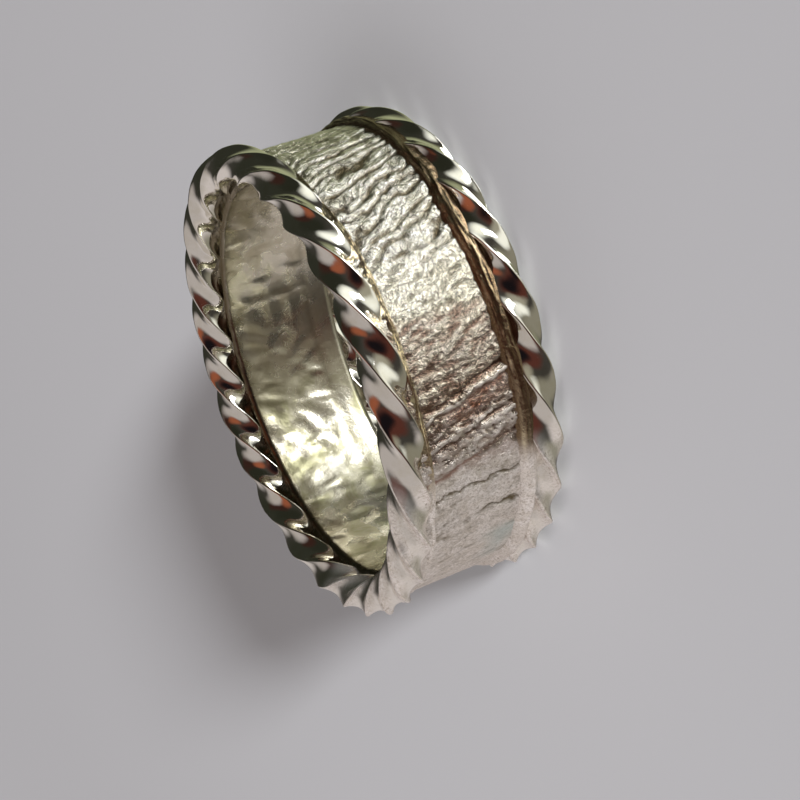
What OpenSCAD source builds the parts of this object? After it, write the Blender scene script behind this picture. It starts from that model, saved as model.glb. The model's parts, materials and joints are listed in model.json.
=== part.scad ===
// A wide silver ring that lies on its side. Its axis is Z, and its lower wire rests on z = 0.
// A wrinkled band has a twisted square wire soldered along each edge, so the metal is one solid.

/* [Finger hole] */
// Diameter of the finger hole, which is the band's inner wall
finger_d = 19.0; // [17:0.1:21]

/* [Band] */
// Whole width of the ring along its axis, from wire to wire
ring_w = 8.7; // [8:0.1:10]
// Thickness of the sheet in the valleys of its relief
band_t = 1.25; // [1.1:0.05:1.5]
// How far the wrinkles of the band's outer face stand up
wrinkle_h = 0.22; // [0.05:0.01:0.3]
// Bold wrinkles that run across the band, counted round the ring
wrinkles = 54; // [40:1:60]
// How far the lip of the one leaning fold stands up
fold_h = 0.14; // [0:0.01:0.2]

/* [Twisted wires] */
// Side of the square wire before it is twisted
wire_side = 1.45; // [1.3:0.05:1.7]
// Whole turns of twist in one wire, which shows four ridges for each turn
wire_turns = 6; // [5:1:7]
// How far the twisting hollows each face of the wire
face_hollow = 0.07; // [0:0.01:0.12]
// How far the twist runs ahead or behind on the way round, in degrees of twist
twist_wander = 14; // [0:1:20]

/* [Solder] */
// Width of the solder on the band beside the lower wire
lower_solder_w = 0.5; // [0.3:0.05:0.7]
// Width of the solder on the band beside the upper wire
upper_solder_w = 0.15; // [0.1:0.05:0.5]

/* [Hidden] */
$fn = 180;

finger_r = finger_d / 2;
band_r = finger_r + band_t;
mid_z = ring_w / 2;

// Distance from the middle of a wire to its ridges, which stay just outside the finger hole
wire_r = wire_side / sqrt(2);
wire_clear = 0.03;
wire_ring_r = finger_r + wire_r + wire_clear;
lower_wire_z = wire_r;
upper_wire_z = ring_w - wire_r;
wire_steps = 168;
// For each wire: its twist on the +X side, how often the twist wanders in one round, and from where
upper_twist = [67, 3, 255];
lower_twist = [44, 2, 268];

// The band's edges stop this far short of the middle of each wire
edge_short = 0.5;
edge_half_w = mid_z - wire_r - edge_short;
// The plain sheet's outer wall lies this far under the valleys of the wrinkled face
sheet_under = 0.3;
// How far a cutting shape stands out of what it cuts
overcut = 1;
// Steps round the ring and rows across the band in its wrinkled face, whose ends stop short of the edge
face_steps = 216;
face_rows = 7;
face_short = 0.1;
// Where the leaning fold crosses the middle of the band, its lean in degrees for each mm, and its width
fold_at = 254.5;
fold_lean = -1.2;
fold_w = 1.8;

// How much of the wire's thickness the solder reaches, and how far its face is hollowed
solder_grip = 0.97;
solder_dip = 0.04;
// The solder runs this far into the band, and this far round each wire from the band's side
solder_depth = 0.2;
upper_solder_climb = 75;
lower_solder_climb = 47;

function turned(p, a) = [p.x * cos(a) - p.y * sin(a), p.x * sin(a) + p.y * cos(a)];
function on_ring(r, around, z) = [r * cos(around), r * sin(around), z];

// Section of the wire before it is twisted: a ridge and the hollow of one face, four times
wire_section = [
    for (quarter = [0:3]) each [
        turned([wire_r, 0], 90 * quarter),
        turned([wire_side / 2 - face_hollow, 0], 90 * quarter + 45)
    ]
];

function twist_at(around, twist) =
    twist[0] + wire_turns * around - twist_wander * sin(twist[1] * (around - twist[2]));

// Section of a wire at one place round the ring, set at the height z
function wire_loop(around, z, twist) = [
    for (p = wire_section) let (q = turned(p, twist_at(around, twist)))
        on_ring(wire_ring_r + q.x, around, z + q.y)
];

// Height of the band's relief: wavy wrinkles across the band that rise and fade, and one leaning fold.
// The numbers in sway and fade only set how the waves wander, so that no two wrinkles look alike.
function relief(around, z) =
    let (sway = 60 * sin(70 * z + 4 * around) + 40 * sin(150 * z - 7 * around),
         crest = 0.5 + 0.5 * cos(wrinkles * around + 25 * z + sway),
         fade = 0.7 + 0.3 * sin(11 * around + 95 * z),
         off_fold = (around - fold_at - fold_lean * z) / fold_w)
    wrinkle_h * crest * fade + fold_h * exp(-off_fold * off_fold);

// Section of the wrinkled face at one place round the ring: its rows, closed a third into the wall
function face_loop(around) =
    let (wall_r = finger_r + band_t / 3, half_w = edge_half_w - face_short)
    concat(
        [on_ring(wall_r, around, mid_z - half_w)],
        [for (row = [0:face_rows - 1]) let (z = half_w * (2 * row / (face_rows - 1) - 1))
            on_ring(band_r + relief(around, z), around, mid_z + z)],
        [on_ring(wall_r, around, mid_z + half_w)]
    );

// Skin over loops that follow each other round the ring and close on the first
module skin(loops) {
    steps = len(loops);
    count = len(loops[0]);
    faces = [
        for (step = [0:steps - 1]) let (here = step * count, next = (step + 1) % steps * count)
            for (i = [0:count - 1]) let (j = (i + 1) % count)
                each [[here + i, here + j, next + i], [here + j, next + j, next + i]]
    ];
    polyhedron([for (loop = loops) each loop], faces);
}

// The sheet, whose inner wall is the finger hole and whose outer wall lies under the wrinkled face
module sheet() {
    translate([0, 0, mid_z - edge_half_w]) difference() {
        cylinder(r = band_r - sheet_under, h = 2 * edge_half_w);
        translate([0, 0, -overcut]) cylinder(r = finger_r, h = 2 * (edge_half_w + overcut));
    }
}

module wrinkled_face() {
    skin([for (step = [0:face_steps - 1]) face_loop(360 * step / face_steps)]);
}

// A square wire, twisted, bent round into a ring and closed on itself
module twisted_wire(z, twist) {
    skin([for (step = [0:wire_steps - 1]) wire_loop(360 * step / wire_steps, z, twist)]);
}

// The solder that fills the corner between the band's outer face and the wire above it
module solder(width, climb) {
    wire_z = mid_z - wire_r;
    top = [wire_ring_r + solder_grip * wire_r * cos(climb), wire_z - solder_grip * wire_r * sin(climb)];
    // The foot stands out of the valleys but under the wrinkles, which run on into the solder
    foot = [band_r + wrinkle_h / 4, wire_z - wire_r - width];
    // Its face from foot to top is a shallow hollow, and the rest lies inside the band and the wire
    rotate_extrude() polygon([
        [band_r - solder_depth, foot.y],
        foot,
        (top + foot) / 2 + [-solder_dip, solder_dip],
        top,
        [wire_ring_r, wire_z],
        [band_r - solder_depth, wire_z]
    ]);
}

module ring() {
    color("silver") union() {
        sheet();
        wrinkled_face();
        twisted_wire(lower_wire_z, lower_twist);
        twisted_wire(upper_wire_z, upper_twist);
        translate([0, 0, mid_z]) solder(upper_solder_w, upper_solder_climb);
        translate([0, 0, mid_z]) mirror([0, 0, 1]) solder(lower_solder_w, lower_solder_climb);
    }
}

ring();
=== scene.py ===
# %% [markdown]
# A handmade silver ring: a wide band of wrinkled sheet with a twisted square wire soldered along
# each edge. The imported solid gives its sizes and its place. Everything added here is silver too,
# so the lesson is about relief, twisted wire and what a mirror-like metal needs around it.

# %% Start from the frame
import json
import math

import bmesh
import bpy
from mathutils import Matrix, Vector, noise


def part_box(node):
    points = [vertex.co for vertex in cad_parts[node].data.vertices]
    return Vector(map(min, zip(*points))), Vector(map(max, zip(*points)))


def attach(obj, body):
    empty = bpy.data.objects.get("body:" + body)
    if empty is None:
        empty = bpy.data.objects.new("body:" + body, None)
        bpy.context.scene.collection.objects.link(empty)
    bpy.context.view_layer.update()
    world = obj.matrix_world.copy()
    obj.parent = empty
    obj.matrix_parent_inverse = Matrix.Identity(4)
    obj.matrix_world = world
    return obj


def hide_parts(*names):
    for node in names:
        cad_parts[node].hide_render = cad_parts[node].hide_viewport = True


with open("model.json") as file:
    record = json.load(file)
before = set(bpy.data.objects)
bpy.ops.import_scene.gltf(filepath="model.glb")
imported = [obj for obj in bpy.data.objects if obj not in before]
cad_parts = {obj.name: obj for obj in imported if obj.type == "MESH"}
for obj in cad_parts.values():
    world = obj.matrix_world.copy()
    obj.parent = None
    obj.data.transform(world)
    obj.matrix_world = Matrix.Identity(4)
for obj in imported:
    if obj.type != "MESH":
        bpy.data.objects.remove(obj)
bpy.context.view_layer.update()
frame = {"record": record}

MM = 0.001
_, ring_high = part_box("ring")
finger_hole = frame["record"]["mounts"][0]
finger_r = finger_hole["dims"]["r_mm"] * MM
mid_z = finger_hole["pos_m"][2]
print("finger hole radius", finger_r, "middle height", mid_z, "ring top", ring_high.z)

# %% [markdown]
# The camera comes first. The photograph looks at the ring's outside from a little above its
# plane, and is turned on its side, so the ring's axis points to the left of the picture. A camera
# that is rolled about its own view shows the lying ring in the same way, with the floor behind.

# %% The camera
camera_place = Vector((-1.46, -82.80, 35.83)) * MM
camera_turn, camera_dip, camera_roll = (math.radians(a) for a in (0.95, 20.49, -110.49))
camera_data = bpy.data.cameras.new("camera")
camera_data.lens = 83.9
camera_data.sensor_width = 36
camera_data.shift_x = 0.0346
camera_data.shift_y = 0.0274
camera_data.clip_start = 0.005
camera = bpy.data.objects.new("camera", camera_data)
bpy.context.scene.collection.objects.link(camera)
camera.matrix_world = (
    Matrix.Translation(camera_place)
    @ Matrix.Rotation(camera_turn, 4, "Z")
    @ Matrix.Rotation(math.pi / 2 - camera_dip, 4, "X")
    @ Matrix.Rotation(camera_roll, 4, "Z")
)
bpy.context.scene.camera = camera
print("camera at", tuple(round(c, 4) for c in camera_place))

# %% [markdown]
# Every piece of this ring is a section carried round the Z axis. The section is a few vertices
# and edges in the XZ plane, and a spin carries it. One full spin of many hundred steps is slow, so
# a short spin is made once and then doubled, with its copy turned on by its own angle each time,
# until the ring closes and its ends are merged.

# %% Helpers for pieces that go round the ring
def section_loop(bm, places):
    """A closed loop of edges through places, each a radius and a height in metres."""
    corners = [bm.verts.new((r, 0, z)) for r, z in places]
    return [bm.edges.new((corners[i - 1], corners[i])) for i in range(len(corners))]


def spin_round(bm, steps, doublings=6):
    """Carries the section once round the Z axis in steps, a number that 2 ** doublings divides."""
    arc = 2 * math.pi / 2 ** doublings
    bmesh.ops.spin(bm, geom=bm.verts[:] + bm.edges[:], cent=(0, 0, 0), axis=(0, 0, 1),
                   dvec=(0, 0, 0), angle=arc, steps=steps >> doublings, use_merge=False)
    for _ in range(doublings):
        copied = bmesh.ops.duplicate(bm, geom=bm.verts[:] + bm.edges[:] + bm.faces[:])["geom"]
        copied_verts = [item for item in copied if isinstance(item, bmesh.types.BMVert)]
        bmesh.ops.rotate(bm, verts=copied_verts, cent=(0, 0, 0), matrix=Matrix.Rotation(arc, 3, "Z"))
        arc *= 2
    bmesh.ops.remove_doubles(bm, verts=bm.verts, dist=1e-7)


def finish_piece(bm, name, *materials):
    """Makes the object, smooth shaded, and ties it to the ring's one body."""
    bmesh.ops.recalc_face_normals(bm, faces=bm.faces)
    for face in bm.faces:
        face.smooth = True
    open_edges = sum(not edge.is_manifold for edge in bm.edges)
    triangles = sum(len(face.verts) - 2 for face in bm.faces)
    mesh = bpy.data.meshes.new(name)
    bm.to_mesh(mesh)
    bm.free()
    for material in materials:
        mesh.materials.append(material)
    piece = bpy.data.objects.new(name, mesh)
    bpy.context.scene.collection.objects.link(piece)
    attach(piece, "root")
    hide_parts("ring")
    print(name, "has", triangles, "triangles and", open_edges, "open edges")
    return piece


# %% [markdown]
# A hand doesn't lay things evenly, so much of what follows fades in and out round the ring. These
# small curves say how far a value has come between two others, how far it is inside a stretch and
# how near it is to a line. Angles round the ring are in degrees, from the X axis, and the camera
# stands at 270.

# %% Soft steps
def smooth(low, high, value):
    """0 at low and 1 at high, with a soft start and end. low may be the larger."""
    t = min(1.0, max(0.0, (value - low) / (high - low)))
    return t * t * (3 - 2 * t)


def within(low, high, soft, value):
    """1 from low to high, fading to 0 over soft outside them."""
    return smooth(low - soft, low, value) * smooth(high + soft, high, value)


def on_line(distance, width, power=2):
    """1 on a line and falling off over width on each side. A higher even power makes it flatter."""
    return math.exp(-(distance / width) ** power)


def degrees_round(co):
    return math.degrees(math.atan2(co.y, co.x)) % 360


DULL_FROM, DULL_TO = 160, 235


def worn_dull(a):
    """The stretch that has gone dull and pale, at the bottom of the photograph."""
    return within(DULL_FROM, DULL_TO, 7, a)


# %% [markdown]
# All finishes are one metal with different surfaces. The helpers below only shorten the making
# of nodes. A pattern reads Object coordinates, in metres, so a scale of 1000 is a millimetre, and
# what belongs to a place on the ring is read from an attribute of the mesh.

# %% Helpers for finishes
def new_metal(name):
    material = bpy.data.materials.new(name)
    material.use_nodes = True
    nodes, links = material.node_tree.nodes, material.node_tree.links
    shader = nodes["Principled BSDF"]
    shader.inputs["Metallic"].default_value = 1.0
    place = nodes.new("ShaderNodeTexCoord").outputs["Object"]
    return material, nodes, links, shader, place


def noise_node(nodes, links, source, scale, detail, distortion=0.0):
    node = nodes.new("ShaderNodeTexNoise")
    node.inputs["Scale"].default_value = scale
    node.inputs["Detail"].default_value = detail
    node.inputs["Roughness"].default_value = 0.6
    node.inputs["Distortion"].default_value = distortion
    links.new(source, node.inputs["Vector"])
    return node.outputs["Fac"]


def attribute_node(nodes, name):
    node = nodes.new("ShaderNodeAttribute")
    node.attribute_name = name
    return node.outputs["Fac"]


def map_range(nodes, links, source, low, high, to_low, to_high):
    node = nodes.new("ShaderNodeMapRange")
    for name, value in (("From Min", low), ("From Max", high), ("To Min", to_low), ("To Max", to_high)):
        node.inputs[name].default_value = value
    links.new(source, node.inputs["Value"])
    return node.outputs["Result"]


def product(nodes, links, first, second):
    node = nodes.new("ShaderNodeMath")
    node.operation = "MULTIPLY"
    links.new(first, node.inputs[0])
    links.new(second, node.inputs[1])
    return node.outputs["Value"]


def mix_colours(nodes, links, share, low, high):
    node = nodes.new("ShaderNodeMix")
    node.data_type = "RGBA"
    links.new(share, node.inputs["Factor"])
    for value, socket in ((low, node.inputs[6]), (high, node.inputs[7])):
        if isinstance(value, tuple):
            socket.default_value = (*value, 1)
        else:
            links.new(value, socket)
    return node.outputs[2]


def shine(nodes, links, shader, dull, roughness, metallic):
    """Sets roughness and metal, each a pair: where the silver is clean and where it is dull."""
    for name, (clean, worn) in (("Roughness", roughness), ("Metallic", metallic)):
        links.new(map_range(nodes, links, dull, 0, 1, clean, worn), shader.inputs[name])


def bump_from(nodes, links, shader, height, depth, strength=1.0):
    """Bump that is depth metres deep from a height between 0 and 1."""
    node = nodes.new("ShaderNodeBump")
    node.inputs["Strength"].default_value = strength
    node.inputs["Distance"].default_value = depth
    links.new(height, node.inputs["Height"])
    links.new(node.outputs["Normal"], shader.inputs["Normal"])


# %% [markdown]
# The wires were polished, so they are the smoothest surface, with a faint waviness from the
# drawplate. Towards the dull stretch they lose their shine and show small pits. The pale bloom
# there isn't bare metal, so it is a little less metallic than the rest.

# %% Finish of the wires
CLEAN = (0.94, 0.92, 0.87)
WIRE_FILM = (0.80, 0.76, 0.62)
BLOOM = (0.93, 0.88, 0.85)
BLOOM_SMUDGE = (0.78, 0.72, 0.66)
BLOOM_SHADE = (0.38, 0.33, 0.27)
TARNISH_AND_SHADE = (0.17, 0.135, 0.08)
GRAIN_STRETCH = 0.75


def dusty_colour(nodes, links, place):
    """The pale bloom of dull silver, with a fine darker grain that runs across the ring."""
    across = nodes.new("ShaderNodeMapping")
    across.inputs["Scale"].default_value = (1, 1, GRAIN_STRETCH)
    links.new(place, across.inputs["Vector"])
    grain = noise_node(nodes, links, across.outputs["Vector"], 12000, 8, 0.8)
    grain = map_range(nodes, links, grain, 0.45, 0.72, 0, 1)
    smudge = noise_node(nodes, links, place, 1300, 6, 0.8)
    smudge = map_range(nodes, links, smudge, 0.4, 0.65, 0, 1)
    bloom = mix_colours(nodes, links, smudge, BLOOM, BLOOM_SMUDGE)
    return mix_colours(nodes, links, grain, bloom, BLOOM_SHADE)


def polished_silver():
    material, nodes, links, shader, place = new_metal("polished_silver")
    dull = attribute_node(nodes, "dull")
    cloud = noise_node(nodes, links, place, 1100, 4)
    film = map_range(nodes, links, cloud, 0.45, 0.75, 0, 0.5)
    colour = mix_colours(nodes, links, film, CLEAN, WIRE_FILM)
    pits = noise_node(nodes, links, place, 5200, 5, 0.4)
    pitted = product(nodes, links, dull, map_range(nodes, links, pits, 0.56, 0.72, 0, 0.7))
    colour = mix_colours(nodes, links, dull, colour, dusty_colour(nodes, links, place))
    colour = mix_colours(nodes, links, pitted, colour, TARNISH_AND_SHADE)
    links.new(colour, shader.inputs["Base Color"])
    shine(nodes, links, shader, dull, (0.085, 0.28), (1, 0.92))
    waves = noise_node(nodes, links, place, 1300, 3)
    bump_from(nodes, links, shader, waves, 0.012 * MM, 0.5)
    return material


polished = polished_silver()
print("finish", polished.name)

# %% [markdown]
# The band's outside was heated until its skin crumpled. Its crests are rubbed bright, its
# grooves keep a brown tarnish, one stretch has a warm film over it and the lowest one has gone
# pale and dull. Five attributes from the relief say where: groove, dull, stain, warm and green.
# A fine bump carries the crumple on below the size of the mesh.

# %% Finish of the band's outside
BARK_FILM = (0.85, 0.83, 0.70)
WARM_FILM = (0.91, 0.87, 0.73)
BROWN_STAIN = (0.24, 0.125, 0.085)
GREEN_BLOOM = (0.50, 0.61, 0.60)


def bark_silver():
    material, nodes, links, shader, place = new_metal("bark_silver")
    groove, dull, stain, warm, green = (
        attribute_node(nodes, name) for name in ("groove", "dull", "stain", "warm", "green"))
    cloud = noise_node(nodes, links, place, 1500, 5, 0.5)
    film = map_range(nodes, links, cloud, 0.4, 0.7, 0, 1)
    colour = mix_colours(nodes, links, film, CLEAN, BARK_FILM)
    colour = mix_colours(nodes, links, warm, colour, WARM_FILM)
    colour = mix_colours(nodes, links, dull, colour, dusty_colour(nodes, links, place))
    colour = mix_colours(nodes, links, groove, colour, TARNISH_AND_SHADE)
    colour = mix_colours(nodes, links, stain, colour, BROWN_STAIN)
    colour = mix_colours(nodes, links, green, colour, GREEN_BLOOM)
    links.new(colour, shader.inputs["Base Color"])
    shine(nodes, links, shader, dull, (0.07, 0.46), (1, 0.90))
    grain = noise_node(nodes, links, place, 6500, 7, 0.7)
    bump_from(nodes, links, shader, grain, 0.09 * MM, 1.0)
    return material


bark_finish = bark_silver()
print("finish", bark_finish.name)

# %% [markdown]
# Inside, the sheet was planished with a small hammer on a mandrel. It was never polished after
# that, so it is a soft mirror with a beige film. One stretch of it is olive and darker, partly
# tarnish and partly painted shade, and the attribute warm says where.

# %% Finish of the finger hole
HOLE_CLEAN = (0.76, 0.73, 0.63)
HOLE_FILM = (0.57, 0.52, 0.41)
OLIVE_TARNISH_AND_SHADE = (0.36, 0.35, 0.22)


def planished_silver():
    material, nodes, links, shader, place = new_metal("planished_silver")
    cloud = noise_node(nodes, links, place, 700, 5, 0.6)
    film = map_range(nodes, links, cloud, 0.4, 0.65, 0, 1)
    colour = mix_colours(nodes, links, film, HOLE_CLEAN, HOLE_FILM)
    groove, warm = attribute_node(nodes, "groove"), attribute_node(nodes, "warm")
    # Olive and darker over that stretch: part tarnish, part painted shade.
    colour = mix_colours(nodes, links, product(nodes, links, warm, film), colour, OLIVE_TARNISH_AND_SHADE)
    # In the finger hole, groove is the dark joint line plus the painted shade in the upper corner.
    colour = mix_colours(nodes, links, groove, colour, TARNISH_AND_SHADE)
    links.new(colour, shader.inputs["Base Color"])
    links.new(map_range(nodes, links, cloud, 0.35, 0.65, 0.22, 0.34), shader.inputs["Roughness"])
    scuffs = noise_node(nodes, links, place, 2600, 4)
    bump_from(nodes, links, shader, scuffs, 0.03 * MM, 0.6)
    return material


planished = planished_silver()
print("finish", planished.name)

# %% [markdown]
# The solder flowed into the corner between band and wire. It is yellower than silver and was
# never cleaned, so it has tarnished brown. Its bright gold lines are the solder's own yellow with
# a painted highlight on it. On the dull stretch it has gone pale as well.

# %% Finish of the solder
SOLDER_GOLD_AND_HIGHLIGHT = (0.86, 0.76, 0.52)
SOLDER_BROWN = (0.27, 0.19, 0.115)


def old_solder():
    material, nodes, links, shader, place = new_metal("old_solder")
    dull, crest = attribute_node(nodes, "dull"), attribute_node(nodes, "crest")
    cloud = noise_node(nodes, links, place, 1600, 5, 0.4)
    # Share of gold: the solder's own yellow with a painted highlight along its line.
    gold_and_highlight_share = product(nodes, links, crest, map_range(nodes, links, cloud, 0.35, 0.6, 0.25, 1))
    colour = mix_colours(nodes, links, gold_and_highlight_share, SOLDER_BROWN, SOLDER_GOLD_AND_HIGHLIGHT)
    colour = mix_colours(nodes, links, dull, colour, dusty_colour(nodes, links, place))
    links.new(colour, shader.inputs["Base Color"])
    shine(nodes, links, shader, dull, (0.25, 0.46), (1, 0.88))
    grit = noise_node(nodes, links, place, 5000, 6)
    bump_from(nodes, links, shader, grit, 0.07 * MM, 0.8)
    return material


solder_finish = old_solder()
print("finish", solder_finish.name)

# %% [markdown]
# Each edge wire is square, and twisted before it is bent round. A plain square ring that is spun
# first and then turned about its own middle, point by point, gives exact ridges that close on
# themselves, because the wire makes a whole number of turns. Its corners are bevelled a little,
# as wear does, and its faces are hollowed a hair, as twisting does. The twist and the wire's place
# wander, because a hand made both. In the dull stretch the ridges are paler than the faces.

# %% The twisted wires
wire_side = 1.45 * MM
wire_r = wire_side / math.sqrt(2)
wire_clear = 0.03 * MM
wire_ring_r = finger_r + wire_r + wire_clear
wire_turns = 6
wire_steps = 640
ridge_round = 0.09 * MM
face_hollow = 0.035 * MM
face_cuts = 9
twist_wander = 14
twist_slip = 4
wire_swell = 0.03
wire_sway = 0.05 * MM
face_dull = 0.2


def wire_section(bm):
    """A square with round corners and hollow sides, at the origin of the XZ plane."""
    square = bmesh.ops.create_circle(bm, cap_ends=False, segments=4, radius=wire_r)["verts"]
    bmesh.ops.rotate(bm, verts=square, cent=(0, 0, 0), matrix=Matrix.Rotation(math.pi / 2, 3, "X"))
    bmesh.ops.bevel(bm, geom=square, offset=ridge_round, offset_type="OFFSET", segments=3,
                    profile=0.5, affect="VERTICES", material=-1)
    long_sides = [e for e in bm.edges if e.calc_length() > wire_side / 2]
    bmesh.ops.subdivide_edges(bm, edges=long_sides, cuts=face_cuts)
    for v in bm.verts:
        off_face = math.cos(2 * math.atan2(v.co.z, v.co.x)) ** 2
        v.co -= v.co.normalized() * face_hollow * (1 - off_face)
    print("wire section has", len(bm.verts), "vertices")


def twisted_wire(name, z, start, waves, wave_from):
    """A wire round the ring at height z, whose twist starts at start degrees on the X axis."""
    bm = bmesh.new()
    wire_section(bm)
    bmesh.ops.translate(bm, verts=bm.verts, vec=(wire_ring_r, 0, z))
    spin_round(bm, wire_steps)
    dull = bm.verts.layers.float.new("dull")
    for v in bm.verts:
        around = math.atan2(v.co.y, v.co.x)
        on_wire = Vector((math.cos(around), math.sin(around), z / wire_ring_r))
        slip = math.radians(twist_slip) * noise.noise(on_wire * 9)
        wander = math.radians(twist_wander) * math.sin(waves * (around - math.radians(wave_from)))
        twist = math.radians(start) + wire_turns * around - wander + slip
        out, up = math.hypot(v.co.x, v.co.y) - wire_ring_r, v.co.z - z
        turned = complex(out, up) * complex(math.cos(twist), math.sin(twist))
        turned *= 1 + wire_swell * noise.noise(on_wire * 14)
        r = wire_ring_r + turned.real + wire_sway * noise.noise(on_wire * 3)
        v.co = (r * math.cos(around), r * math.sin(around), z + turned.imag)
        ridge = math.cos(2 * math.atan2(up, out)) ** 2
        v[dull] = worn_dull(degrees_round(v.co)) * (face_dull + (1 - face_dull) * ridge)
    return finish_piece(bm, name, polished)


twisted_wire("lower_twisted_wire", wire_r, 44, 2, 268)
twisted_wire("upper_twisted_wire", ring_high.z - wire_r, 67, 3, 255)

# %% [markdown]
# The band could be sculpted, or its folds could be a bump in the finish alone. A bump keeps a
# straight outline and looks painted on from the side, so the folds are real: the outer wall has a
# vertex about every 0.08 mm, and each one is moved in or out by the height of a made-up crumple.
# Creases are where a slow noise passes through zero, which gives thin lines that branch and
# wander, as in a crushed skin. Bold folds, branches, fine creases, streaks and skin are layers of
# it. Each has a smaller scale along Z, which makes it longer across the band than round it.

# %% The crumpled surface
band_r = finger_r + 1.25 * MM
fold_r = 10.9
fold_count = 88
bold_from, bold_to = 291, 326
calm_from, calm_to = 258, 286
bold_depth, branch_depth, fine_depth = 0.10, 0.06, 0.035
streak_depth, streak_worn = 0.030, 0.014
skin_depth, skin_worn = 0.016, 0.010
bark_height = 0.17


def crease_lines(point, width):
    """1 along thin wandering lines, falling off to each side."""
    return math.exp(-abs(noise.noise(point)) / width)


def fold_lines(count, u, warp):
    """Wavy folds across the band, from 0 on their crests to 1 in their thin grooves."""
    return (0.5 - 0.5 * math.sin(count * u + warp)) ** 3


def crumple(around, z):
    """The bark's height in mm, how deep its grooves are and how patchy it is, at an angle and a z in mm."""
    a = math.degrees(around) % 360
    lean = 1.5 + 0.7 * smooth(275, 300, a)
    u = around + math.radians(lean) * z
    x, y = fold_r * math.cos(u), fold_r * math.sin(u)
    slow = noise.noise(Vector((x * 0.3, y * 0.3, z * 0.25)))
    sway = noise.noise(Vector((x * 0.8 + 7, y * 0.8, z * 0.6)))
    quick = noise.noise(Vector((x * 1.9, y * 1.9 + 9, z * 1.4)))
    patchy = 0.5 + 0.5 * noise.noise(Vector((x * 0.5, y * 0.5 + 5, z * 0.6)))
    dull = worn_dull(a)
    calm = within(calm_from, calm_to, 5, a)
    bold = max(within(bold_from, bold_to, 7, a), 0.45 * (1 - dull) * (0.5 + patchy))
    bold *= fold_lines(fold_count, u, 6 * slow + 4.5 * sway + 2.2 * quick)
    branch = crease_lines(Vector((x * 1.25 + quick, y * 1.25, z * 0.65 + 3)), 0.10)
    branch *= (1 - 0.8 * dull) * (0.45 + 0.55 * patchy) * (1 - 0.55 * calm)
    fine = crease_lines(Vector((x * 2.9, y * 2.9 + 0.6 * quick, z * 1.9 + 11)), 0.16)
    fine *= (1 - 0.65 * dull) * (1 - 0.5 * calm)
    streaks = noise.fractal(Vector((x * 3.6, y * 3.6, z * 1.2)), 0.8, 2.0, 3)
    skin = noise.fractal(Vector((x * 4.2, y * 4.2, z * 3.4)), 0.8, 2.0, 2)
    height = bark_height - bold_depth * bold - branch_depth * branch - fine_depth * fine
    height += (streak_depth - streak_worn * dull) * streaks + (skin_depth - skin_worn * dull) * skin
    deep = 0.8 * bold ** 1.5 + 0.5 * branch ** 2 + 0.3 * fine ** 2 + 0.4 * smooth(0.1, -0.5, streaks)
    return height, min(1.0, deep), patchy


print("the crests of the bark stand about", bark_height, "mm proud of a plain sheet")

# %% [markdown]
# A few marks are this ring's own: a leaf of skin that lifted beside a deep brown crease, dry
# flakes next to it with three brown recesses, and two cracks and some hairlines in the pale
# stretch. Each is a short formula in the distance from its own line, in degrees, and the leaf's
# line leans as the folds do. The same formulas say where brown stain, the warm film and a touch of
# green bloom lie.

# %% The marks on the band
leaf_at = 254.8
leaf_lean = -1.5
leaf_w = 5.5
rim_below = 0.8
crease_above = 1.0
recesses = ((6.5, 0.45), (8.7, 0.5), (15.2, 0.9))  # how far below the leaf's line, and how wide
flakes_from, flakes_to = -15.6, -6.6
long_crack_at = 231.5
short_crack_at = 223
rim_height, flake_height = 0.05, 0.08
recess_depth, leaf_depth, crease_depth = 0.05, 0.03, 0.13
crack_depth, hairline_depth = 0.10, 0.03
brown_from, brown_to = 239, 272
warm_from, warm_to = 255, 282
green_from, green_to = 201, 211


def leaf_marks(off_leaf, z, ragged, crumb):
    """The leaf, its pale rim, its crease, the recesses and the flakes, each from 0 to 1."""
    leaf = smooth(-leaf_w - 0.8, -leaf_w, off_leaf) * smooth(-1.0, -1.6, off_leaf) * smooth(1.6, 0.9, z)
    rim = on_line(off_leaf + rim_below, 0.55, 4) * smooth(-0.75, 0.1, ragged)
    crease = on_line(off_leaf - crease_above, 0.65)
    recess = max(on_line(off_leaf + below, width) for below, width in recesses)
    flakes = smooth(flakes_from - 0.6, flakes_from, off_leaf) * smooth(flakes_to + 0.6, flakes_to, off_leaf)
    flakes *= (1 - recess) * smooth(-0.6, -0.1, crumb)
    recess *= smooth(-0.5, 0.0, ragged + 0.2)
    return leaf, rim, crease, recess, flakes


def cracks(a, z, jitter, ragged, crumb):
    """The long crack and the short one, which ends at the middle of the band."""
    width = 0.42 + 0.45 * crumb
    long_crack = on_line(a - long_crack_at + 1.2 * jitter + 0.8 * ragged + 0.3 * z, width)
    short_crack = on_line(a - short_crack_at + 1.5 * jitter + 0.8 * ragged, width) * smooth(0.3, -0.4, z)
    return min(1.0, long_crack + short_crack)


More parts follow.
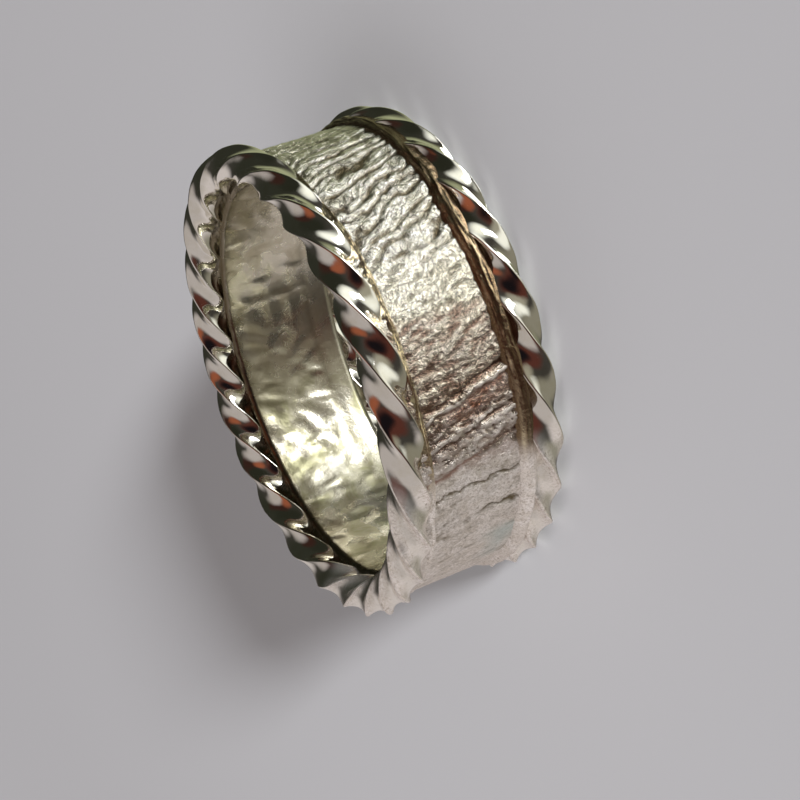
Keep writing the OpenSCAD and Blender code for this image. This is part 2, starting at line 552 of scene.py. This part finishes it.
def bark_relief(around, z):
    """The bark's height in mm and the five masks of its finish."""
    height, deep, patchy = crumple(around, z)
    a = math.degrees(around) % 360
    jitter = noise.noise(Vector((a * 0.25, z * 1.7, 4.5)))
    ragged = noise.noise(Vector((a * 0.9, z * 3.6, 2.5)))
    crumb = noise.noise(Vector((a * 1.7, z * 5.5, 1.5)))
    dull = within(DULL_FROM, DULL_TO + 4, 1.5, a + 3 * jitter)
    off_leaf = a - leaf_at - leaf_lean * z + 0.7 * jitter + 0.6 * ragged
    leaf, rim, crease, recess, flakes = leaf_marks(off_leaf, z, ragged, crumb)
    crack = cracks(a, z, jitter, ragged, crumb)
    hairline = crease_lines(Vector((a * 0.30 + 0.45 * z, z * 0.3, 7.5)), 0.06)
    hairline *= dull * smooth(-0.2, 0.3, ragged)
    height += rim_height * rim + flake_height * flakes
    height -= recess_depth * recess + leaf_depth * leaf + crease_depth * crease
    height -= crack_depth * crack + hairline_depth * hairline
    groove = min(1.0, deep * (1 - 0.5 * dull) + 0.9 * crack + 0.6 * hairline)
    brown_zone = 0.75 * within(brown_from, brown_to, 4, a) * min(1.0, 0.45 + 1.2 * deep)
    stain = max(brown_zone, 0.9 * max(crease, recess), leaf * (0.75 + 0.5 * ragged))
    stain = min(1.0, stain * (1 - 0.9 * rim) * (1 - 0.6 * flakes))
    warm = within(warm_from, warm_to, 8, a) * (0.35 + 0.65 * patchy)
    green = 0.6 * within(green_from, green_to, 5, a) * smooth(0.2, -1.6, z) * smooth(0.25, 0.75, patchy)
    dull_here = max(dull, flakes * (0.75 + 0.4 * ragged), 0.8 * rim, 0.5 * leaf)
    return height, (groove, dull_here, stain, warm, green)


print("marks at", leaf_at, long_crack_at, short_crack_at, "degrees")

# %% [markdown]
# The band itself is one rectangle that is spun. Its outer side is cut into many rows, its inner
# side into fewer, and then each vertex takes its height. The inside gets round dimples, from the
# distance to the nearest of many scattered points, and a smooth strip along the lower joint. Along
# the upper joint its colour darkens towards the wire, a painted shade in that corner.

# %% The wrinkled band
edge_short = 0.5 * MM
edge_half_w = mid_z - wire_r - edge_short
band_steps = 960
outer_rows = 67
inner_rows = 21
dimple_size = 1.3 * MM
dimple_depth = 0.06 * MM
joint_strip_z = 2.85 * MM
joint_line_w = 0.06 * MM
joint_line_depth = 0.04 * MM
top_corner_shade_w = 0.45 * MM
olive_shade_from, olive_shade_to = 100, 190


def inner_face(v):
    """How far a vertex of the finger hole goes into the metal, and how dark it is, with painted corner
    shade.
    """
    near, next_near = noise.voronoi(v.co / dimple_size)[0][:2]
    rim = smooth(0.0, 0.5, next_near - near)
    dimple = dimple_depth * rim * smooth(joint_strip_z, joint_strip_z + 0.3 * MM, v.co.z)
    line = on_line(v.co.z - joint_strip_z, joint_line_w)
    # Painted shade: the colour grows darker towards the corner under the upper wire.
    top_corner_shade = smooth(mid_z + edge_half_w - top_corner_shade_w, mid_z + edge_half_w, v.co.z)
    return dimple + joint_line_depth * line, 0.5 * line + top_corner_shade


def wrinkled_band():
    bm = bmesh.new()
    loop = section_loop(bm, [(finger_r, mid_z - edge_half_w), (band_r, mid_z - edge_half_w),
                             (band_r, mid_z + edge_half_w), (finger_r, mid_z + edge_half_w)])
    middle = (finger_r + band_r) / 2
    outer = [e for e in loop if all(v.co.x > middle for v in e.verts)]
    inner = [e for e in loop if all(v.co.x < middle for v in e.verts)]
    bmesh.ops.subdivide_edges(bm, edges=outer, cuts=outer_rows)
    bmesh.ops.subdivide_edges(bm, edges=inner, cuts=inner_rows)
    spin_round(bm, band_steps)
    layers = [bm.verts.layers.float.new(name) for name in ("groove", "dull", "stain", "warm", "green")]
    for face in bm.faces:
        face.material_index = int(face.calc_center_median().xy.length < middle)
    for v in bm.verts:
        r = v.co.xy.length
        if r > middle:
            height, masks = bark_relief(math.atan2(v.co.y, v.co.x), (v.co.z - mid_z) / MM)
            push = height * MM
        else:
            push, dark = inner_face(v)
            # warm here marks the olive stretch, which is partly painted shade.
            masks = (dark, 0, 0, within(olive_shade_from, olive_shade_to, 25, degrees_round(v.co)), 0)
        v.co.xy *= (r + push) / r
        for layer, mask in zip(layers, masks):
            v[layer] = mask
    return finish_piece(bm, "wrinkled_band", bark_finish, planished)


wrinkled_band()

# %% [markdown]
# Solder fills the corner between the band and each wire. Its face is a narrow hollow fillet. It is
# spun like the rest, and then its edge wanders a little and its face gets a few long lines and
# small lumps. The wires' ridges stand out of it and it shows between them as small webs. An
# attribute gives its bright gold part, the solder's own yellow with a painted highlight on it: one
# wandering line, or all of the narrow upper fillet.

# %% The solder
solder_steps = 512
solder_cuts = 15
solder_hollow = 0.09 * MM
solder_line_depth = 0.05 * MM
solder_lump_depth = 0.03 * MM
solder_grip = 0.97
solder_foot = 0.10 * MM
solder_buried = 0.2 * MM
edge_wander = 0.10 * MM
narrow_from, narrow_to = 310, 350
narrow_by = 0.28 * MM


def solder(name, side, width, climb):
    """Solder beside the upper wire with side 1, or the lower one with side -1."""
    wire_z = mid_z - wire_r
    reach = solder_grip * wire_r
    top = (wire_ring_r + reach * math.cos(climb), wire_z - reach * math.sin(climb))
    foot = (band_r + solder_foot, wire_z - wire_r - width)
    buried_r = band_r - solder_buried
    bm = bmesh.new()
    places = [(buried_r, foot[1]), foot, top, (wire_ring_r, wire_z), (buried_r, wire_z)]
    loop = section_loop(bm, [(r, mid_z + side * z) for r, z in places])
    bmesh.ops.subdivide_edges(bm, edges=[loop[2]], cuts=solder_cuts)
    span = Vector((top[0] - foot[0], 0, side * (top[1] - foot[1])))
    start = Vector((foot[0], 0, mid_z + side * foot[1]))
    inward = Vector((-span.z, 0, span.x)).normalized() * -side
    along = {}
    for v in bm.verts:
        t = (v.co - start).dot(span) / span.length_squared
        if 0.01 < t < 0.99 and v.co.x > band_r:
            v.co += inward * solder_hollow * math.sin(math.pi * t)
            along[round(v.co.z / MM, 4)] = t
    spin_round(bm, solder_steps)
    dull, crest = bm.verts.layers.float.new("dull"), bm.verts.layers.float.new("crest")
    for v in bm.verts:
        a = degrees_round(v.co)
        t = along.get(round(v.co.z / MM, 4), 0)
        line_at = 0.50 + 0.25 * noise.noise(Vector((a / 14, 0.5, side)))
        # The bright gold part, a painted highlight on the solder's yellow: all of the upper fillet, a
        # wandering line and the top of the lower one.
        v[crest] = 1 if side > 0 else on_line(t - line_at, 0.13) + 0.3 * smooth(0.6, 0.9, t)
        v[dull] = within(DULL_FROM - 10, DULL_TO - 3, 9, a)
        lines = solder_line_depth * noise.noise(Vector((a / 5, 5 * t, 2 * side)))
        lumps = solder_lump_depth * noise.noise(v.co / (0.35 * MM))
        wander = edge_wander * noise.noise(v.co / (2.2 * MM))
        wander += narrow_by * within(narrow_from, narrow_to, 14, a) * (1 - t)
        v.co.z += side * wander
        v.co.xy *= 1 + (lines + lumps) / wire_ring_r
    return finish_piece(bm, name, solder_finish)


solder("upper_solder", 1, 0.10 * MM, math.radians(68))
solder("lower_solder", -1, 0.32 * MM, math.radians(47))

# %% [markdown]
# Polished metal has no colour of its own: it shows what stands round it. A jeweller lights it
# with cards, so the world here is a dark ground with soft round cards in front of it, each a
# direction with a size and a colour. One side is pale, the other a dark olive, with brown and
# black cards towards the viewer, an orange one above and daylight from below. The floor is left out
# of the mirror images, because otherwise it would fill the lower half of them.

# %% The cards that the ring mirrors
def toward(azimuth, elevation):
    """The direction at an azimuth from +X and an elevation over the floor, in degrees."""
    turn, rise = math.radians(azimuth), math.radians(elevation)
    return Vector((math.cos(turn) * math.cos(rise), math.sin(turn) * math.cos(rise), math.sin(rise)))


GROUND = (0.045, 0.041, 0.035)
cards = [
    # azimuth, elevation, radius that is full and radius where it ends, all in degrees, and colour
    (35, 15, 30, 66, (0.026, 0.027, 0.019)),
    (338, 22, 16, 40, (0.020, 0.021, 0.014)),
    (352, 68, 16, 34, (0.034, 0.015, 0.011)),
    (150, 0, 42, 62, (0.56, 0.51, 0.49)),
    (172, 48, 28, 50, (0.44, 0.40, 0.38)),
    (120, 78, 12, 38, (0.42, 0.38, 0.36)),
    (165, -72, 16, 50, (0.23, 0.215, 0.165)),
    (254, 14, 26, 46, (0.085, 0.028, 0.020)),
    (266, 18, 8, 30, (0.008, 0.006, 0.007)),
    (274, -28, 6, 26, (0.33, 0.31, 0.24)),
    (48, -36, 8, 40, (0.36, 0.38, 0.23)),
    (278, -54, 4, 26, (0.95, 0.95, 0.85)),
    (323, -24, 4, 30, (1.08, 1.09, 0.98)),
    (298, 62, 0, 22, (0.28, 0.085, 0.042)),
]

world = bpy.data.worlds.new("cards")
bpy.context.scene.world = world
world.use_nodes = True
world_nodes, world_links = world.node_tree.nodes, world.node_tree.links
direction = world_nodes.new("ShaderNodeTexCoord").outputs["Generated"]
seen = GROUND
for azimuth, elevation, full, ends, card_colour in cards:
    closeness = world_nodes.new("ShaderNodeVectorMath")
    closeness.operation = "DOT_PRODUCT"
    closeness.inputs[1].default_value = toward(azimuth, elevation)
    world_links.new(direction, closeness.inputs[0])
    cover = world_nodes.new("ShaderNodeMapRange")
    cover.interpolation_type = "SMOOTHSTEP"
    cover.inputs["From Min"].default_value = math.cos(math.radians(ends))
    cover.inputs["From Max"].default_value = math.cos(math.radians(full))
    world_links.new(closeness.outputs["Value"], cover.inputs["Value"])
    seen = mix_colours(world_nodes, world_links, cover.outputs["Result"], seen, card_colour)
world_links.new(seen, world_nodes["Background"].inputs["Color"])
print(len(cards), "cards round the ring")

# %% [markdown]
# Two small bright panels below give the metal its white glints. The other three light the floor,
# and the pale bloom a little, but the metal doesn't mirror them: a low sun in front, whose shadow
# falls behind the ring, a soft light from the side and one from behind that thins the shadow.

# %% The lights
def area_light(name, azimuth, elevation, distance, size, power, mirrored):
    """A panel that faces the ring. The metal shows it only where mirrored is true."""
    data = bpy.data.lights.new(name, "AREA")
    data.shape = "RECTANGLE"
    data.size, data.size_y = size
    data.energy = power
    light = bpy.data.objects.new(name, data)
    ring_middle = Vector((0, 0, mid_z))
    light.location = ring_middle + toward(azimuth, elevation) * distance
    light.rotation_euler = (ring_middle - light.location).to_track_quat("-Z", "Y").to_euler()
    light.visible_glossy = mirrored
    bpy.context.scene.collection.objects.link(light)
    brightness = power / (math.pi * size[0] * size[1])
    print(name, "is", round(brightness, 1), "times as bright as white")


def low_sun(azimuth, elevation, width, power):
    """A sun that is width degrees wide, which the metal doesn't mirror."""
    data = bpy.data.lights.new("low_sun", "SUN")
    data.energy = power
    data.angle = math.radians(width)
    light = bpy.data.objects.new("low_sun", data)
    light.rotation_euler = (-toward(azimuth, elevation)).to_track_quat("-Z", "Y").to_euler()
    light.visible_glossy = False
    bpy.context.scene.collection.objects.link(light)
    print("low_sun stands", elevation, "degrees over the floor")


area_light("glint_panel", 307, -33, 0.2, (0.085, 0.06), 0.21, True)
area_light("long_glint_panel", 40, -60, 0.2, (0.14, 0.03), 0.06, True)
low_sun(279, 7.5, 7, 11.5)
area_light("side_light", 205, 60, 0.16, (0.16, 0.16), 0.07, False)
area_light("back_light", 112, 40, 0.42, (0.30, 0.30), 0.20, False)

# %% [markdown]
# A plain pale floor. It catches the ring's shadow but casts none, so that the panels below it
# still reach the metal. The Standard view keeps the metal's contrast as it is.

# %% The floor
FLOOR_GREY = (0.485, 0.490, 0.515)
floor_half = 30
bm = bmesh.new()
bmesh.ops.create_grid(bm, x_segments=1, y_segments=1, size=floor_half)
floor_mesh = bpy.data.meshes.new("floor")
bm.to_mesh(floor_mesh)
bm.free()
pale_floor = bpy.data.materials.new("pale_floor")
pale_floor.use_nodes = True
floor_shader = pale_floor.node_tree.nodes["Principled BSDF"]
floor_shader.inputs["Base Color"].default_value = (*FLOOR_GREY, 1)
floor_shader.inputs["Roughness"].default_value = 0.8
floor_shader.inputs["Specular IOR Level"].default_value = 0.1
floor_mesh.materials.append(pale_floor)
floor = bpy.data.objects.new("floor", floor_mesh)
bpy.context.scene.collection.objects.link(floor)
floor.visible_glossy = False
floor.visible_shadow = False
bpy.context.scene.view_settings.view_transform = "Standard"
print("floor", 2 * floor_half, "m wide")
